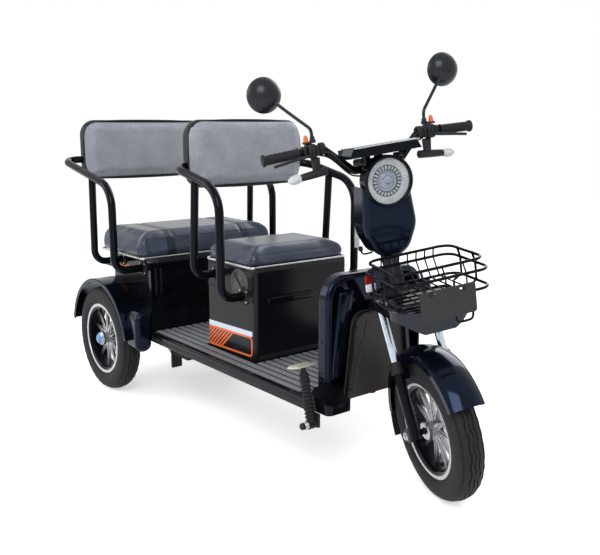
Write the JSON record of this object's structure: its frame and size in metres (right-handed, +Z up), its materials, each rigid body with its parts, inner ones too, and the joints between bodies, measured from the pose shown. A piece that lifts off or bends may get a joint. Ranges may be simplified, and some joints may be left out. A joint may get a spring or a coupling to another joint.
{
  "type": "electric tricycle",
  "caption": "Small electric tricycle with two seats in a row, armrest hoops, a raked front fork with basket and headlamp, and spoked alloy wheels.",
  "frame": {"origin": "on the floor under the middle of the bounding box, with the front wheel turned as it parks", "axes": "+X the way it drives, +Y its left side, +Z up"},
  "size_m": [1.8615, 0.74, 1.228],
  "materials": {
    "tyre_rubber": "matt moulded rubber",
    "wheel_black": "satin black with machined silver faces",
    "frame_black": "satin black powder coat",
    "body_blue_black": "high-gloss blue-black paint",
    "tube_black": "gloss black",
    "leatherette": "soft semi-matt leatherette",
    "board_black": "grained black",
    "mat_rubber": "ribbed matt rubber",
    "grip_rubber": "matt rubber",
    "trim_black": "fine-grained black plastic",
    "chrome": "bright plated",
    "cast_alloy": "as cast",
    "lens_clear": "clear lens",
    "lens_red": "red lens",
    "signal_black": "black stalk with a clear lens at its tip",
    "plate_blank": "blank dark grey plate",
    "mirror_shell": "gloss black shell"
  },
  "bodies": {
    "frame": {"chassis": "frame_black", "rear_axle": "frame_black", "drive_motor": "cast_alloy", "battery": "board_black", "floor_pan": "body_blue_black", "floor_mat": "mat_rubber", "front_seat_box": "body_blue_black", "rear_seat_box": "body_blue_black", "front_backrest": "leatherette", "rear_backrest": "leatherette", "front_armrest": "tube_black", "rear_armrest": "tube_black", "rear_fender_left": "body_blue_black", "rear_fender_right": "body_blue_black", "rear_loop": "tube_black", "rear_lamps": "lens_red", "leg_shield": "body_blue_black", "front_apron": "body_blue_black", "brake_pedal": "mat_rubber"},
    "front_seat": {"front_seat_base": "board_black", "front_cushion": "leatherette"},
    "rear_seat": {"rear_seat_base": "board_black", "rear_cushion": "leatherette"},
    "steering": {"steering_stem": "frame_black", "fork_stanchions": "chrome", "fork_legs": "tube_black", "front_fender": "body_blue_black", "handlebar": "tube_black", "grips": "grip_rubber", "bar_controls": "trim_black", "turn_signals": "signal_black", "mirrors": "mirror_shell", "dash": "body_blue_black", "headlamp_shell": "tube_black", "headlamp_lens": "lens_clear", "head_cowl": "body_blue_black", "front_carrier": "tube_black", "nose_tray": "body_blue_black", "number_plate": "plate_blank"},
    "front_wheel": {"front_tyre": "tyre_rubber", "front_rim": "wheel_black"},
    "rear_wheel_left": {"rear_tyre_left": "tyre_rubber", "rear_rim_left": "wheel_black"},
    "rear_wheel_right": {"rear_tyre_right": "tyre_rubber", "rear_rim_right": "wheel_black"}
  },
  "joints": [
    {"name": "steering_turn", "type": "hinge", "parent": "frame", "child": "steering", "pos_m": [0.7362, 0, 0.20143], "axis": [-0.4003, 0, 0.9164], "range_deg": [-18.4, 61.6]},
    {"name": "front_wheel_roll", "type": "hinge", "parent": "steering", "child": "front_wheel", "pos_m": [0.7362, 0, 0.20143], "axis": [0.3373, 0.9298, 0.1474], "continuous": true},
    {"name": "rear_wheel_left_roll", "type": "hinge", "parent": "frame", "child": "rear_wheel_left", "pos_m": [-0.6918, 0.298, 0.203], "axis": [0, 1, 0], "continuous": true},
    {"name": "rear_wheel_right_roll", "type": "hinge", "parent": "frame", "child": "rear_wheel_right", "pos_m": [-0.6918, -0.298, 0.203], "axis": [0, 1, 0], "continuous": true},
    {"name": "front_seat_tilt", "type": "hinge", "parent": "frame", "child": "front_seat", "pos_m": [0.1482, 0, 0.5683], "axis": [0, 1, 0], "range_deg": [0, 80]},
    {"name": "rear_seat_tilt", "type": "hinge", "parent": "frame", "child": "rear_seat", "pos_m": [-0.4018, 0, 0.5303], "axis": [0, 1, 0], "range_deg": [0, 80]}
  ]
}
